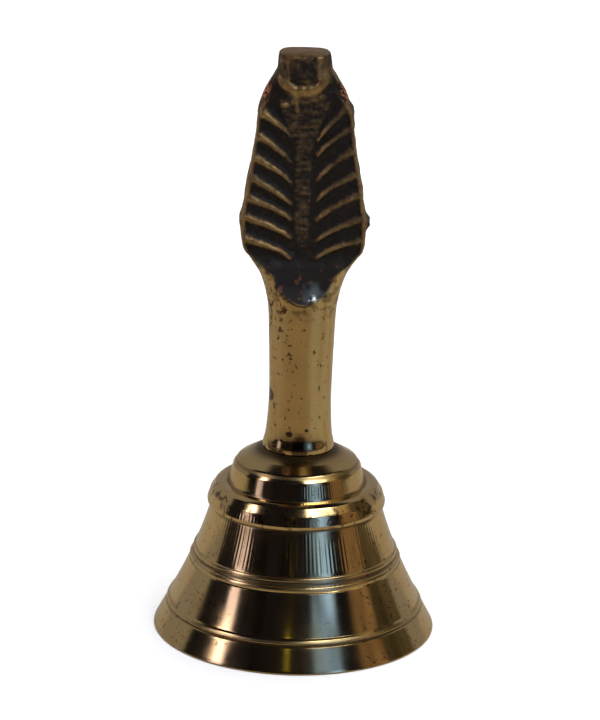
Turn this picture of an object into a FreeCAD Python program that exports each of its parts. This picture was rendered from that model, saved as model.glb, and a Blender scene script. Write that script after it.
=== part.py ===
import FreeCAD, Part
import math
import os

# A small brass hand bell, in millimetres. +Z is up, the axis of the bell is the Z axis, and Z = 0 is the
# plane of the rim, on which the bell stands. The broad faces of the leaf-shaped grip look along -Y and +Y.

# ---------------------------------------------------------------- cup, from the rim up
mouth_radius = 26.6           # outside of the rim
lip_height = 4.7              # plain band above the rim
lip_flare = 2.6               # how much the lip narrows over its height
lip_wall = 2.2
rim_round = 0.35              # small radius on the rim's two corners
skirt_height = 19.4           # from the lip to the collar
skirt_top_radius = 15.9
skirt_sag = 0.65              # how far the skirt curves in from a straight cone
skirt_wall = 2.6
bead_band_rise = 10.15        # from the lip to the middle of the pair of beads
bead_height = 0.8
bead_proud = 0.3
bead_spacing = 1.2            # middle to middle
line_depth = 0.25             # turned V line
line_width = 0.5
collar_height = 3.1           # rolled band over the skirt
collar_overhang = 0.75
collar_draft = 0.55           # how much the collar narrows over its height
collar_underside_round = 0.4
collar_edge_round = 1.1
collar_top_rise = 0.9         # its sloping top, up to the shoulder's foot
shoulder_height = 4.4
shoulder_radius = 12.7
shoulder_draft = 1.1
shoulder_foot_round = 0.9
shoulder_wall = 2.4
dome_height = 2.8             # from the shoulder's edge to the handle's seat
dome_bulge = 0.25             # how far the dome stands out of a straight cone
crown_wall = 3.0
crown_corner_radius = 1.9     # inside, between the shoulder and the crown
seat_margin = 0.15            # flat left around the handle's foot

# ---------------------------------------------------------------- handle, from its foot up
foot_radius = 6.65
foot_height = 3.2
foot_neck_radius = 6.15
stem_length = 27.4            # foot to the start of the neck
stem_waist_radius = 5.75
stem_waist_height = 11.0
stem_top_radius = 6.3
neck_length = 10.8            # where the round stem spreads into the leaf
neck_hollow = 1.0             # how far the spreading sides curve in
leaf_root_half_width = 10.9
leaf_widest_half_width = 11.45
leaf_widest_rise = 5.5        # above the leaf's root
leaf_length = 25.2
leaf_tip_half_width = 8.65
tip_length = 7.6              # from the leaf's shoulders to the knob
tip_fullness = 0.75           # how far the tip's sides bulge out
knob_half_width = 4.7
knob_height = 3.7
knob_chamfer = 0.6
knob_half_depth = 4.15
leaf_root_half_depth = 3.8
leaf_tip_half_depth = 3.4
scoop_start_rise = 1.2        # above the stem, where the front and back of the stem are scooped away
scoop_depth = 0.7             # below a straight run to the leaf's face
rib_count = 7
rib_width = 1.2
rib_slope_deg = 34.0
first_rib_drop = 1.0          # inner end of the lowest rib, below the leaf's root
rib_relief = 0.9              # depth of the pockets between the ribs
spine_half_width = 1.85
leaf_rim_width = 0.9

# ---------------------------------------------------------------- hanger bolt, washer and nut
bolt_radius = 2.0
thread_clearance = 0.02
thread_engagement = 12.0      # length of bolt held in the handle
tap_runout = 1.5
crown_hole_clearance = 0.25
washer_radius = 5.0
washer_thickness = 0.8
washer_hole_clearance = 0.2
nut_across_flats = 7.0
nut_height = 2.2
nut_chamfer = 0.35
eye_ring_radius = 2.6         # to the middle of the wire
eye_wire_radius = 1.0
eye_gap = 0.3                 # between the nut and the eye

# ---------------------------------------------------------------- link and clapper
link_wire_radius = 0.7
link_side_clearance = 0.3     # each side of the bolt's eye
link_length = 6.4             # between the middles of the wire, top to bottom
pivot_clearance = 0.1         # between wires that hang in each other
clapper_ring_radius = 2.2
clapper_wire_radius = 0.8
ball_radius = 4.5
ball_bore_clearance = 0.02
tail_head_radius = 1.3
tail_head_thickness = 0.5
tail_rim_gap = 1.8            # the clapper's lowest point above the plane of the rim

# ---------------------------------------------------------------- heights worked out from these
lip_top_z = lip_height
lip_top_radius = mouth_radius - lip_flare
skirt_top_z = lip_top_z + skirt_height
bead_band_z = lip_top_z + bead_band_rise
collar_radius = skirt_top_radius + collar_overhang
collar_edge_radius = collar_radius - collar_draft
collar_top_z = skirt_top_z + collar_height
shoulder_foot_z = collar_top_z + collar_top_rise
shoulder_edge_radius = shoulder_radius - shoulder_draft
shoulder_top_z = shoulder_foot_z + shoulder_height
cup_top_z = shoulder_top_z + dome_height
seat_radius = foot_radius + seat_margin
crown_under_z = cup_top_z - crown_wall

stem_top_z = cup_top_z + stem_length
leaf_root_z = stem_top_z + neck_length
leaf_tip_z = leaf_root_z + leaf_length
knob_base_z = leaf_tip_z + tip_length
handle_top_z = knob_base_z + knob_height

washer_under_z = crown_under_z - washer_thickness
nut_under_z = washer_under_z - nut_height
eye_z = nut_under_z - eye_gap - eye_ring_radius - eye_wire_radius
eye_bottom_wire_z = eye_z - eye_ring_radius

link_bend_radius = eye_wire_radius + link_side_clearance + link_wire_radius
link_pivot_z = eye_bottom_wire_z + eye_wire_radius + pivot_clearance + link_wire_radius
link_bottom_wire_z = link_pivot_z - link_length
clapper_pivot_z = link_bottom_wire_z + link_wire_radius + pivot_clearance + clapper_wire_radius
clapper_ring_z = clapper_pivot_z - clapper_ring_radius
ball_flat_drop = math.sqrt(ball_radius**2 - tail_head_radius**2)
tail_head_z = tail_rim_gap + tail_head_thickness
ball_z = tail_head_z + ball_flat_drop

Z_AXIS = FreeCAD.Vector(0, 0, 1)
REACH = 2 * mouth_radius      # longer than any cut has to be
SAME_POINT = 1e-6


class Outline:
    """A closed profile in the plane Y = 0, drawn edge by edge as distance from the axis and height."""

    def __init__(self, r, z):
        self.start = FreeCAD.Vector(r, 0, z)
        self.pen = self.start
        self.edges = []

    def line_to(self, r, z):
        end = FreeCAD.Vector(r, 0, z)
        if end.distanceToPoint(self.pen) > SAME_POINT:
            self.edges.append(Part.LineSegment(self.pen, end).toShape())
            self.pen = end

    def arc_to(self, mid_r, mid_z, end_r, end_z):
        mid = FreeCAD.Vector(mid_r, 0, mid_z)
        end = FreeCAD.Vector(end_r, 0, end_z)
        self.edges.append(Part.Arc(self.pen, mid, end).toShape())
        self.pen = end

    def round_corner(self, r, z, radius, next_r, next_z):
        """Go to the corner (r, z) and round it, on the way to the next point."""
        corner = FreeCAD.Vector(r, 0, z)
        back = (self.pen - corner).normalize()
        ahead = (FreeCAD.Vector(next_r, 0, next_z) - corner).normalize()
        half_angle = back.getAngle(ahead) / 2
        reach = radius / math.tan(half_angle)
        bisector = (back + ahead).normalize()
        middle = corner + bisector * (radius / math.sin(half_angle) - radius)
        start = corner + back * reach
        end = corner + ahead * reach
        self.line_to(start.x, start.z)
        self.arc_to(middle.x, middle.z, end.x, end.z)

    def face(self):
        self.line_to(self.start.x, self.start.z)
        return Part.Face(Part.Wire(self.edges))

    def turned(self):
        return self.face().revolve(FreeCAD.Vector(), Z_AXIS, 360)


def cylinder(radius, z_low, z_high):
    return Part.makeCylinder(radius, z_high - z_low, FreeCAD.Vector(0, 0, z_low))


def circle_through(low, mid, high):
    """Centre and radius of the circle through three points given as (distance from axis, height)."""
    curve = Part.Arc(*[FreeCAD.Vector(r, 0, z) for r, z in (low, mid, high)]).toShape().Curve
    return curve.Center.x, curve.Center.z, curve.Radius


def skirt_curve(inset):
    """The skirt's flare, moved in from the outside by inset, as a function of height."""
    share = bead_band_rise / skirt_height
    straight = lip_top_radius + (skirt_top_radius - lip_top_radius) * share
    low = (lip_top_radius - inset, lip_top_z)
    mid = (straight - skirt_sag - inset, bead_band_z)
    high = (skirt_top_radius - inset, skirt_top_z)
    centre_r, centre_z, radius = circle_through(low, mid, high)
    return lambda z: centre_r - math.sqrt(radius**2 - (z - centre_z)**2)


def follow_skirt(outline, skirt, z_end):
    """Continue an outline along the skirt's flare to a height, if it isn't there yet."""
    if z_end - outline.pen.z > SAME_POINT:
        z_mid = (outline.pen.z + z_end) / 2
        outline.arc_to(skirt(z_mid), z_mid, skirt(z_end), z_end)


def turned_line(outline, skirt, z):
    """A V line turned into the skirt."""
    follow_skirt(outline, skirt, z - line_width / 2)
    outline.line_to(skirt(z) - line_depth, z)
    outline.line_to(skirt(z + line_width / 2), z + line_width / 2)


def turned_bead(outline, skirt, z):
    """A half-round bead standing out of the skirt."""
    outline.line_to(skirt(z - bead_height / 2), z - bead_height / 2)
    z_end = z + bead_height / 2
    outline.arc_to(skirt(z) + bead_proud, z, skirt(z_end), z_end)


def make_cup():
    outside = skirt_curve(0)
    inside = skirt_curve(skirt_wall)
    hole_radius = bolt_radius + crown_hole_clearance
    mouth_inner_radius = mouth_radius - lip_wall
    shoulder_inner_radius = shoulder_radius - shoulder_wall

    cup = Outline(mouth_inner_radius + rim_round, 0)
    cup.round_corner(mouth_radius, 0, rim_round, lip_top_radius, lip_top_z)
    cup.line_to(lip_top_radius, lip_top_z)
    turned_line(cup, outside, lip_top_z + line_width)
    low_bead_z = bead_band_z - bead_spacing / 2
    high_bead_z = bead_band_z + bead_spacing / 2
    turned_line(cup, outside, low_bead_z - bead_height / 2 - line_width / 2)
    turned_bead(cup, outside, low_bead_z)
    turned_bead(cup, outside, high_bead_z)
    turned_line(cup, outside, high_bead_z + bead_height / 2 + line_width / 2)
    follow_skirt(cup, outside, skirt_top_z)

    # Collar: a rolled band that overhangs the skirt, rounded below and above, with a sloping top.
    cup.round_corner(collar_radius, skirt_top_z, collar_underside_round, collar_edge_radius, collar_top_z)
    cup.round_corner(collar_edge_radius, collar_top_z, collar_edge_round, shoulder_radius, shoulder_foot_z)
    cup.round_corner(shoulder_radius, shoulder_foot_z, shoulder_foot_round,
                     shoulder_edge_radius, shoulder_top_z)

    # Shoulder, dome and the flat seat for the handle.
    cup.line_to(shoulder_edge_radius, shoulder_top_z)
    chord_middle = (shoulder_edge_radius + seat_radius) / 2, (shoulder_top_z + cup_top_z) / 2
    cup.arc_to(chord_middle[0] + dome_bulge, chord_middle[1] + dome_bulge, seat_radius, cup_top_z)
    cup.line_to(hole_radius, cup_top_z)

    # Inside, from the crown down to the mouth.
    cup.line_to(hole_radius, crown_under_z)
    cup.round_corner(shoulder_inner_radius, crown_under_z, crown_corner_radius,
                     shoulder_inner_radius, shoulder_foot_z)
    cup.line_to(shoulder_inner_radius, shoulder_foot_z)
    cup.line_to(inside(skirt_top_z), skirt_top_z)
    middle_z = (skirt_top_z + lip_top_z) / 2
    cup.arc_to(inside(middle_z), middle_z, inside(lip_top_z), lip_top_z)
    cup.round_corner(mouth_inner_radius, 0, rim_round, mouth_inner_radius + rim_round, 0)
    return cup.turned()


def leaf_half_widths():
    """Half width and height of the leaf's corners, from its root to its tip."""
    return [
        (leaf_root_half_width, leaf_root_z),
        (leaf_widest_half_width, leaf_root_z + leaf_widest_rise),
        (leaf_tip_half_width, leaf_tip_z),
    ]


def handle_blank():
    """The handle before its faces are cut flat: its front outline turned about the axis."""
    waist_z = cup_top_z + stem_waist_height
    blank = Outline(0, cup_top_z)
    blank.line_to(foot_radius, cup_top_z)
    blank.line_to(foot_radius, cup_top_z + foot_height / 4)
    blank.line_to(foot_neck_radius, cup_top_z + foot_height)
    blank.arc_to(stem_waist_radius, waist_z, stem_top_radius, stem_top_z)
    blank.arc_to((stem_top_radius + leaf_root_half_width) / 2 - neck_hollow, stem_top_z + neck_length / 2,
                 leaf_root_half_width, leaf_root_z)
    for half_width, z in leaf_half_widths()[1:]:
        blank.line_to(half_width, z)
    blank.arc_to((leaf_tip_half_width + knob_half_width) / 2 + tip_fullness, leaf_tip_z + tip_length / 2,
                 knob_half_width, knob_base_z)
    blank.line_to(knob_half_width, handle_top_z - knob_chamfer)
    blank.line_to(knob_half_width - knob_chamfer, handle_top_z)
    blank.line_to(0, handle_top_z)
    return blank.turned()


def leaf_face_cutter():
    """What is cut away in front of the leaf: a scoop out of the round stem, then the leaf's flat face."""
    scoop_z = stem_top_z + scoop_start_rise
    cutter = Outline(REACH, scoop_z)
    cutter.line_to(stem_top_radius, scoop_z)
    middle_depth = (stem_top_radius + leaf_root_half_depth) / 2 - scoop_depth
    middle_z = (scoop_z + leaf_root_z) / 2 - scoop_depth
    cutter.arc_to(middle_depth, middle_z, leaf_root_half_depth, leaf_root_z)
    cutter.line_to(leaf_tip_half_depth, leaf_tip_z)
    cutter.line_to(knob_half_depth, knob_base_z)
    cutter.line_to(knob_half_depth, handle_top_z + knob_height)
    cutter.line_to(REACH, handle_top_z + knob_height)
    solid = cutter.face().extrude(FreeCAD.Vector(0, REACH, 0))
    solid.translate(FreeCAD.Vector(0, -REACH / 2, 0))
    solid.rotate(FreeCAD.Vector(), Z_AXIS, -90)
    return solid


def flat_prism(points, depth_from):
    """A prism with an outline in X and Z, from depth_from in front of the axis outwards."""
    corners = [FreeCAD.Vector(x, -depth_from, z) for x, z in points]
    return Part.Face(Part.makePolygon(corners + corners[:1])).extrude(FreeCAD.Vector(0, -REACH, 0))


def rib_pockets():
    """The sunk pockets between the ribs of one face, in pairs on both sides of the spine."""
    floor_depth = leaf_tip_half_depth - rib_relief
    slope = math.tan(math.radians(rib_slope_deg))
    rib_rise = rib_width / 2 / math.cos(math.radians(rib_slope_deg))
    pitch = (leaf_length - first_rib_drop) / rib_count
    corners = leaf_half_widths()
    right_edge = [(w - leaf_rim_width, z) for w, z in corners]
    left_edge = [(-x, z) for x, z in reversed(right_edge)]
    field = flat_prism(right_edge + left_edge, floor_depth)
    run = leaf_widest_half_width - spine_half_width
    pockets = []
    for side in (-1, 1):
        for gap in range(-3, rib_count):
            low_z = leaf_root_z - first_rib_drop + gap * pitch + rib_rise
            high_z = low_z + pitch - 2 * rib_rise
            outer = side * leaf_widest_half_width
            points = [
                (side * spine_half_width, low_z),
                (outer, low_z + run * slope),
                (outer, high_z + run * slope),
                (side * spine_half_width, high_z),
            ]
            pocket = flat_prism(points, floor_depth).common(field)
            if pocket.Volume > 1.0:
                pockets.append(pocket)
    return pockets


def make_handle():
    cutters = [leaf_face_cutter()] + rib_pockets()
    handle = handle_blank()
    for cutter in cutters:
        handle = handle.cut(cutter)
        behind = cutter.copy()
        behind.rotate(FreeCAD.Vector(), Z_AXIS, 180)
        handle = handle.cut(behind)
    tapped_depth = thread_engagement + tap_runout
    return handle.cut(cylinder(bolt_radius + thread_clearance, cup_top_z, cup_top_z + tapped_depth))


def wire_ring(ring_radius, wire_radius, z):
    """A ring of wire standing in the plane Y = 0, with its middle on the axis."""
    return Part.makeTorus(ring_radius, wire_radius, FreeCAD.Vector(0, 0, z), FreeCAD.Vector(0, 1, 0))


def make_hanger_bolt():
    shank_bottom_z = eye_z + eye_ring_radius
    shank = cylinder(bolt_radius, shank_bottom_z, cup_top_z + thread_engagement)
    neck_foot = FreeCAD.Vector(0, 0, shank_bottom_z - eye_wire_radius)
    neck = Part.makeCone(eye_wire_radius, bolt_radius, eye_wire_radius, neck_foot)
    eye = wire_ring(eye_ring_radius, eye_wire_radius, eye_z)
    return shank.fuse([neck, eye]).removeSplitter()


def make_crown_washer():
    hole = cylinder(bolt_radius + washer_hole_clearance, washer_under_z, crown_under_z)
    return cylinder(washer_radius, washer_under_z, crown_under_z).cut(hole)


def make_crown_nut():
    corner_radius = nut_across_flats / 2 / math.cos(math.pi / 6)
    foot = FreeCAD.Vector(0, 0, nut_under_z)
    corners = []
    for index in range(6):
        angle = index * math.pi / 3
        corner = FreeCAD.Vector(math.cos(angle), math.sin(angle), 0)
        corners.append(foot + corner * corner_radius)
    hexagon = Part.Face(Part.makePolygon(corners + corners[:1])).extrude(Z_AXIS * nut_height)
    face_radius = corner_radius - 2 * nut_chamfer
    rounding = Part.makeCone(face_radius, face_radius + 2 * nut_height, nut_height, foot)
    bore = cylinder(bolt_radius + thread_clearance, nut_under_z, washer_under_z)
    return hexagon.common(rounding).cut(bore)


def make_clapper_link():
    """A long loop of wire in the plane X = 0: two half rings joined by two straight legs."""
    top_z = link_pivot_z - link_bend_radius
    bottom_z = link_bottom_wire_z + link_bend_radius
    solids = []
    for bend_z, turn in ((top_z, 180), (bottom_z, -180)):
        section = Part.makeCircle(link_wire_radius, FreeCAD.Vector(0, link_bend_radius, bend_z), Z_AXIS)
        middle = FreeCAD.Vector(0, 0, bend_z)
        solids.append(Part.Face(Part.Wire(section)).revolve(middle, FreeCAD.Vector(1, 0, 0), turn))
    for side in (-1, 1):
        foot = FreeCAD.Vector(0, side * link_bend_radius, bottom_z)
        solids.append(Part.makeCylinder(link_wire_radius, top_z - bottom_z, foot))
    return solids[0].fuse(solids[1:]).removeSplitter()


def make_clapper_rod():
    ring = wire_ring(clapper_ring_radius, clapper_wire_radius, clapper_ring_z)
    rod = cylinder(clapper_wire_radius, tail_head_z, clapper_ring_z - clapper_ring_radius)
    head = cylinder(tail_head_radius, tail_rim_gap, tail_head_z)
    return ring.fuse([rod, head]).removeSplitter()


def make_clapper_ball():
    ball = Part.makeSphere(ball_radius, FreeCAD.Vector(0, 0, ball_z))
    under = cylinder(ball_radius, ball_z - 2 * ball_radius, tail_head_z)
    bore = cylinder(clapper_wire_radius + ball_bore_clearance, tail_head_z, ball_z + ball_radius)
    return ball.cut(under).cut(bore)


NODES = {
    "bell_cup": make_cup,
    "handle": make_handle,
    "hanger_bolt": make_hanger_bolt,
    "crown_washer": make_crown_washer,
    "crown_nut": make_crown_nut,
    "clapper_link": make_clapper_link,
    "clapper_rod": make_clapper_rod,
    "clapper_ball": make_clapper_ball,
}

os.makedirs("parts", exist_ok=True)
for node, make in NODES.items():
    shape = make()
    solids = shape.Solids
    assert len(solids) == 1 and shape.isValid(), node + " is not one valid solid"
    solids[0].exportStep("parts/" + node + ".step")
    print(f"{node:14s} {shape.Volume:9.2f} mm3")
print(f"hinges: link at Z {link_pivot_z:.3f}, clapper at Z {clapper_pivot_z:.3f}")
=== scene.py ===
import math

import bpy
import numpy as np
from mathutils import Matrix, Vector


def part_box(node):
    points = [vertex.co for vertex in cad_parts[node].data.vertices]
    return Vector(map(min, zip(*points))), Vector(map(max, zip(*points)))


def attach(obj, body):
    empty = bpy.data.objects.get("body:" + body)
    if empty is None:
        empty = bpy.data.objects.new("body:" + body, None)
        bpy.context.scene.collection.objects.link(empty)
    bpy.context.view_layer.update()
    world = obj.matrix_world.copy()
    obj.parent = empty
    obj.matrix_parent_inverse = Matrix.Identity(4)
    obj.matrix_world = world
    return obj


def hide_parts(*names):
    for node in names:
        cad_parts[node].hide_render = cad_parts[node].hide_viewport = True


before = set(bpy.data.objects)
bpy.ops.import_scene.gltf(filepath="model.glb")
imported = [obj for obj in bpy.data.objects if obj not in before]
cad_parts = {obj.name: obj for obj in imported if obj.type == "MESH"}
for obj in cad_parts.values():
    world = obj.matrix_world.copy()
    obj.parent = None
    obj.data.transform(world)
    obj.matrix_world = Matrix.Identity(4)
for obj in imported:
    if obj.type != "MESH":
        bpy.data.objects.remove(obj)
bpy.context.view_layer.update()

MM = 0.001

# ================================================================== places taken from the frame, in mm
cup_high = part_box("bell_cup")[1] / MM
MOUTH_RADIUS = cup_high.x
CUP_TOP = cup_high.z


# ================================================================== camera, in mm
CAMERA_DISTANCE = 602.0
CAMERA_HEIGHT = 242.3
AIM_HEIGHT = 51.9
AIM_RIGHT = 0.10
CAMERA_ROLL_DEG = 1.35
LENS_MM = 171.0
SENSOR_MM = 36.0


def make_camera():
    camera = bpy.data.objects.new("camera", bpy.data.cameras.new("camera"))
    bpy.context.scene.collection.objects.link(camera)
    camera.data.lens = LENS_MM
    camera.data.sensor_width = SENSOR_MM
    place = Vector((0, -CAMERA_DISTANCE, CAMERA_HEIGHT)) * MM
    aim = Vector((AIM_RIGHT, 0, AIM_HEIGHT)) * MM
    turn = (aim - place).to_track_quat("-Z", "Y").to_matrix().to_4x4()
    roll = Matrix.Rotation(math.radians(CAMERA_ROLL_DEG), 4, "Z")
    camera.matrix_world = Matrix.Translation(place) @ turn @ roll
    bpy.context.scene.camera = camera


# ================================================================== node helpers
def new_material(name):
    """An empty node material and its Principled shader."""
    material = bpy.data.materials.new(name)
    material.use_nodes = True
    tree = material.node_tree
    tree.nodes.clear()
    shader = tree.nodes.new("ShaderNodeBsdfPrincipled")
    output = tree.nodes.new("ShaderNodeOutputMaterial")
    tree.links.new(shader.outputs[0], output.inputs["Surface"])
    return material, tree, shader


def plug(tree, socket, value):
    """Set a socket to a number or a colour, or link it to another socket."""
    if isinstance(value, bpy.types.NodeSocket):
        tree.links.new(value, socket)
    elif hasattr(socket.default_value, "__len__") and len(socket.default_value) == 4 and len(value) == 3:
        socket.default_value = (*value, 1.0)
    else:
        socket.default_value = value


def calc(tree, operation, *values):
    """The result of one Math node on sockets and numbers."""
    node = tree.nodes.new("ShaderNodeMath")
    node.operation = operation
    for socket, value in zip(node.inputs, values):
        plug(tree, socket, value)
    return node.outputs[0]


def times(tree, first, *others):
    """The product of sockets and numbers."""
    for other in others:
        first = calc(tree, "MULTIPLY", first, other)
    return first


def plus(tree, first, *others):
    """The total of sockets and numbers."""
    for other in others:
        first = calc(tree, "ADD", first, other)
    return first


def ramp(tree, value, low, high, to_low=0.0, to_high=1.0):
    """A smooth step from to_low at low to to_high at high."""
    node = tree.nodes.new("ShaderNodeMapRange")
    node.interpolation_type = "SMOOTHSTEP"
    settings = {"Value": value, "From Min": low, "From Max": high, "To Min": to_low, "To Max": to_high}
    for name, setting in settings.items():
        plug(tree, node.inputs[name], setting)
    return node.outputs[0]


def ramp_mm(tree, place, low, high, to_low=0.0, to_high=1.0):
    """A ramp by a place on the object, with low and high in mm."""
    return ramp(tree, place, low * MM, high * MM, to_low, to_high)


def band_mm(tree, place, rise_from, rise_to, fall_from, fall_to):
    """1 inside a span of places and 0 outside it, with smooth edges, all in mm."""
    return times(tree, ramp_mm(tree, place, rise_from, rise_to), ramp_mm(tree, place, fall_to, fall_from))


def blend(tree, share, first, second, how="MIX"):
    """Mix two colours."""
    node = tree.nodes.new("ShaderNodeMix")
    node.data_type = "RGBA"
    node.blend_type = how
    for socket, value in ((node.inputs[0], share), (node.inputs[6], first), (node.inputs[7], second)):
        plug(tree, socket, value)
    return node.outputs[2]


def noise(tree, vector, size_mm, detail=3.0, roughness=0.55, distortion=0.0):
    """Noise whose lumps are about size_mm across."""
    node = tree.nodes.new("ShaderNodeTexNoise")
    plug(tree, node.inputs["Vector"], vector)
    node.inputs["Scale"].default_value = 1.0 / (size_mm * MM)
    node.inputs["Detail"].default_value = detail
    node.inputs["Roughness"].default_value = roughness
    node.inputs["Distortion"].default_value = distortion
    return node.outputs[0]


def combine(tree, x, y, z):
    """A vector from its three parts."""
    node = tree.nodes.new("ShaderNodeCombineXYZ")
    for socket, value in zip(node.inputs, (x, y, z)):
        plug(tree, socket, value)
    return node.outputs[0]


def split(tree, vector):
    """A vector's three parts."""
    node = tree.nodes.new("ShaderNodeSeparateXYZ")
    plug(tree, node.inputs[0], vector)
    return tuple(node.outputs)


def mix_shaders(tree, share, first, second):
    """The first shader where share is 0 and the second where it is 1."""
    node = tree.nodes.new("ShaderNodeMixShader")
    for socket, source in zip(node.inputs, (share, first, second)):
        tree.links.new(source, socket)
    return node.outputs[0]


def seen_or_mirrored(tree, seen, mirrored):
    """One shader for what the camera sees directly and another for every other ray."""
    rays = tree.nodes.new("ShaderNodeLightPath")
    return mix_shaders(tree, rays.outputs["Is Camera Ray"], mirrored, seen)


def place_of(tree):
    """The surface point in the object's own space, and its x, y and z."""
    here = tree.nodes.new("ShaderNodeTexCoord").outputs["Object"]
    return here, *split(tree, here)


def painted(tree, name):
    """A value stored on the mesh's points."""
    node = tree.nodes.new("ShaderNodeAttribute")
    node.attribute_name = name
    return node.outputs["Fac"]


def bump(tree, shader, height, depth_mm):
    """Raise the surface by height, from 0 to 1, times depth_mm."""
    node = tree.nodes.new("ShaderNodeBump")
    node.inputs["Distance"].default_value = depth_mm * MM
    plug(tree, node.inputs["Height"], height)
    tree.links.new(node.outputs[0], shader.inputs["Normal"])


def from_axis(tree, x, y):
    """Distance from the bell's axis."""
    return calc(tree, "SQRT", plus(tree, times(tree, x, x), times(tree, y, y)))


def turned_lines(tree, x, y, z, size_mm):
    """Noise that is the same all the way round the axis, as a lathe tool leaves it."""
    return noise(tree, combine(tree, from_axis(tree, x, y), 0.0, z), size_mm, detail=4.0, roughness=0.6)


# ================================================================== studio
ROOM_DARK = (0.011, 0.011, 0.017)
PAPER_LIGHT = (0.31, 0.30, 0.30)
# In a direction of length 1, the paper's edge lies where y, less PAPER_LEAN of x and PAPER_BEND of z squared,
# is within PAPER_EDGE.
PAPER_LEAN = 0.1
PAPER_BEND = 0.2
PAPER_EDGE = (0.2, 0.3)
# Clutter: its size in a direction of length 1, the noise it is cut from and the light it lets through.
CLUTTER_SIZE = 0.22
CLUTTER_NOISE = (0.36, 0.66)
CLUTTER_LIGHT = (1.35, 0.45)
# The floor, in mm. In reflections it darkens over FLOOR_DULL, away from the bell, and over FLOOR_FRONT, in y.
FLOOR_REACH = 6000.0
FLOOR_WHITE = 0.90
FLOOR_IN_REFLECTIONS = (0.35, 0.315, 0.25)
FLOOR_DULL = (250.0, 500.0)
FLOOR_FRONT = (50.0, -100.0)
WASH_STRENGTH = 3.1
WASH_SPREAD_DEG = 80.0
WASH_TURN_DEG = (-12.0, 10.0, 0.0)
# The light under the floor, in mm and watts.
UNDERGLOW_REACH = 18.0
UNDERGLOW_DEPTH = 90.0
UNDERGLOW_RADIUS = 3.0
UNDERGLOW_WATTS = 0.8
UNDERGLOW_EDGE = 0.1
# Soft boxes as the bell mirrors them: bearing from the front (right is positive), half width, soft edge,
# lowest and highest elevation, all in degrees, then the light's colour.
SOFT_BOXES = {
    "right_olive": (101, 13, 3, -12, 44, (0.09, 0.08, 0.055)),
    "right_warm": (73, 11, 4, -12, 42, (0.28, 0.195, 0.12)),
    "window": (32, 12, 2.5, -6, 58, (0.21, 0.40, 0.84)),
    "window_core": (35, 5.5, 3, 8, 34, (0.45, 0.88, 2.1)),
    "side_top": (80, 20, 6, 36, 54, (0.60, 0.52, 0.30)),
    "window_top": (42, 22, 4, 43, 56, (7.0, 7.3, 7.6)),
    "left_strip": (-66, 5, 1.5, -12, 44, (1.3, 1.2, 1.75)),
    "left_strip_high": (-70, 5, 2, 25, 44, (5.0, 4.6, 5.4)),
    "front_glint": (-3, 0.8, 1.4, 14, 32, (0.07, 0.06, 0.015)),
    "yellow_glint": (-5, 1.6, 1.4, 34, 38, (0.6, 0.56, 0.07)),
}


def mirrored_room(tree):
    """The room's light by direction: dark, with pale paper behind the bell, soft boxes and clutter."""
    direction = tree.nodes.new("ShaderNodeTexCoord").outputs["Generated"]
    x, y, z = split(tree, direction)
    bearing = calc(tree, "ARCTAN2", x, times(tree, y, -1.0))
    elevation = calc(tree, "ARCSINE", z)
    lean = plus(tree, times(tree, x, PAPER_LEAN), times(tree, z, z, PAPER_BEND))
    behind = ramp(tree, calc(tree, "SUBTRACT", y, lean), *PAPER_EDGE)
    light = blend(tree, behind, ROOM_DARK, PAPER_LIGHT)
    for centre, half, soft, low, high, colour in SOFT_BOXES.values():
        away = calc(tree, "ABSOLUTE", calc(tree, "SUBTRACT", bearing, math.radians(centre)))
        across = ramp(tree, away, math.radians(half + soft), math.radians(half - soft / 2))
        above = ramp(tree, elevation, math.radians(low - soft), math.radians(low + soft))
        below = ramp(tree, elevation, math.radians(high + soft), math.radians(high - soft))
        light = blend(tree, times(tree, across, above, below), light, colour)
    # Things standing about the room break up what the metal mirrors from the front.
    clutter = ramp(tree, noise(tree, direction, CLUTTER_SIZE / MM), *CLUTTER_NOISE, *CLUTTER_LIGHT)
    clutter = plus(tree, clutter, times(tree, behind, calc(tree, "SUBTRACT", 1.0, clutter)))
    return blend(tree, 1.0, light, combine(tree, clutter, clutter, clutter), "MULTIPLY")


def make_world():
    """The camera sees white, and the metal mirrors a room."""
    world = bpy.data.worlds.new("studio")
    bpy.context.scene.world = world
    world.use_nodes = True
    tree = world.node_tree
    tree.nodes.clear()
    room, white = (tree.nodes.new("ShaderNodeBackground") for _ in range(2))
    plug(tree, room.inputs["Color"], mirrored_room(tree))
    plug(tree, white.inputs["Color"], (1.0, 1.0, 1.0))
    output = tree.nodes.new("ShaderNodeOutputWorld")
    tree.links.new(seen_or_mirrored(tree, white.outputs[0], room.outputs[0]), output.inputs["Surface"])


def floor_sheet():
    """A pale sheet. The bell mirrors it duller, and dark far in front, because it stands in a dim room."""
    material = bpy.data.materials.new("floor_sheet")
    material.use_nodes = True
    tree = material.node_tree
    tree.nodes.clear()
    _, x, y, _ = place_of(tree)
    far = times(tree, ramp_mm(tree, from_axis(tree, x, y), *FLOOR_DULL), ramp_mm(tree, y, *FLOOR_FRONT))
    seen, mirrored = (tree.nodes.new("ShaderNodeBsdfDiffuse") for _ in range(2))
    plug(tree, seen.inputs["Color"], (FLOOR_WHITE, FLOOR_WHITE, FLOOR_WHITE))
    plug(tree, mirrored.inputs["Color"], blend(tree, far, FLOOR_IN_REFLECTIONS, ROOM_DARK))
    sheet = seen_or_mirrored(tree, seen.outputs[0], mirrored.outputs[0])
    # Seen from below the sheet is clear, so that the inside of the bell can be looked at.
    below = tree.nodes.new("ShaderNodeNewGeometry").outputs["Backfacing"]
    clear = tree.nodes.new("ShaderNodeBsdfTransparent")
    output = tree.nodes.new("ShaderNodeOutputMaterial")
    tree.links.new(mix_shaders(tree, below, sheet, clear.outputs[0]), output.inputs["Surface"])
    return material


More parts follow.
